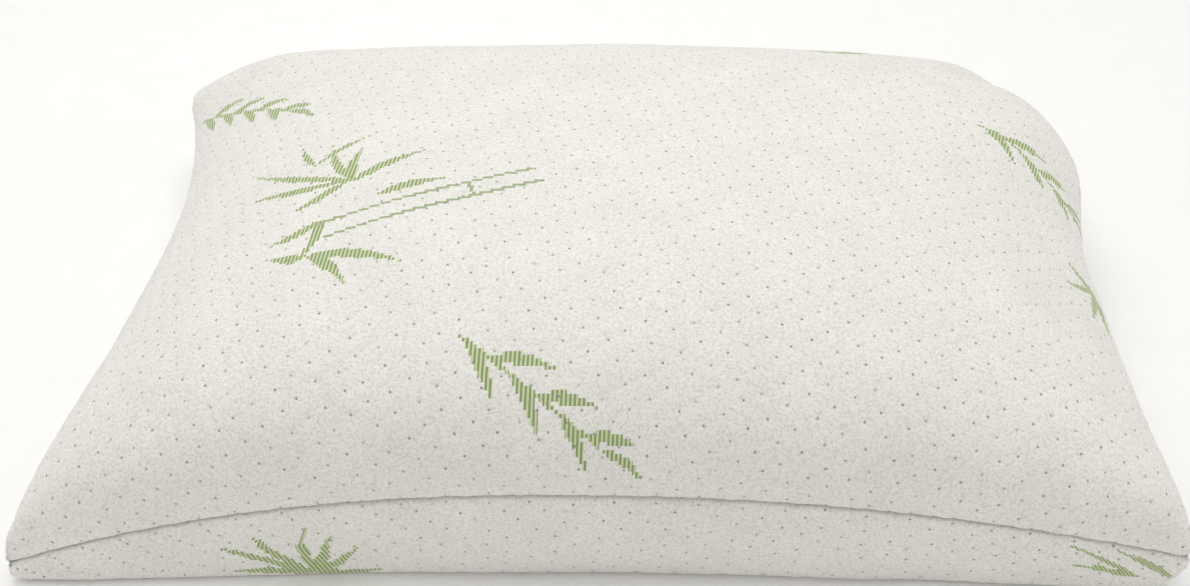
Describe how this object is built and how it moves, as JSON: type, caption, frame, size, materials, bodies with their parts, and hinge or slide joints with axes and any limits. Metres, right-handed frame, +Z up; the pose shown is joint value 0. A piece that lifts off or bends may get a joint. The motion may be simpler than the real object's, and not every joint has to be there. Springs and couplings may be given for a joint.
{
  "type": "bed pillow",
  "caption": "Queen-size bed pillow: a plump foam fill in a liner bag, inside a dimpled knit cover that zips open along the back edge.",
  "frame": {"origin": "middle of the face that the pillow rests on, at the bottom centre of its box", "axes": "+X along the length, +Y towards the long edge with the zip, +Z up"},
  "size_m": [0.711, 0.46, 0.1774],
  "materials": {
    "cover_knit": "off-white jacquard double knit with pinhole dimples and a pale green leaf motif",
    "liner_cloth": "plain white polyester weave",
    "shredded_foam": "loose cream foam crumbs",
    "sewing_thread": "white polyester thread",
    "zip_tape": "woven white polyester tape",
    "zip_coil": "white nylon coil",
    "zip_metal": "white enamelled zinc",
    "label_satin": "blank white woven satin"
  },
  "bodies": {
    "pillow": {"cover_top_panel": "cover_knit", "cover_bottom_panel": "cover_knit", "cover_seam_thread": "sewing_thread", "liner_top_panel": "liner_cloth", "liner_bottom_panel": "liner_cloth", "liner_seam_thread": "sewing_thread", "foam_fill": "shredded_foam", "zip_tape_upper": "zip_tape", "zip_tape_lower": "zip_tape", "zip_coil_upper": "zip_coil", "zip_coil_lower": "zip_coil", "zip_top_stops": "zip_metal", "zip_bottom_stop": "zip_metal", "zip_stitching_upper": "sewing_thread", "zip_stitching_lower": "sewing_thread", "zip_bar_tacks": "sewing_thread", "care_label": "label_satin"},
    "slider": {"zip_slider": "zip_metal"},
    "pull_tab": {"zip_pull_tab": "zip_metal"}
  },
  "joints": [
    {"name": "zip_slide", "type": "slide", "parent": "pillow", "child": "slider", "axis": [-1, 0, 0], "range_m": [0, 0.4514]},
    {"name": "pull_tab_hinge", "type": "hinge", "parent": "slider", "child": "pull_tab", "pos_m": [0.2257, 0.22074, 0.072], "axis": [0, 0, -1], "range_deg": [0, 150]}
  ]
}
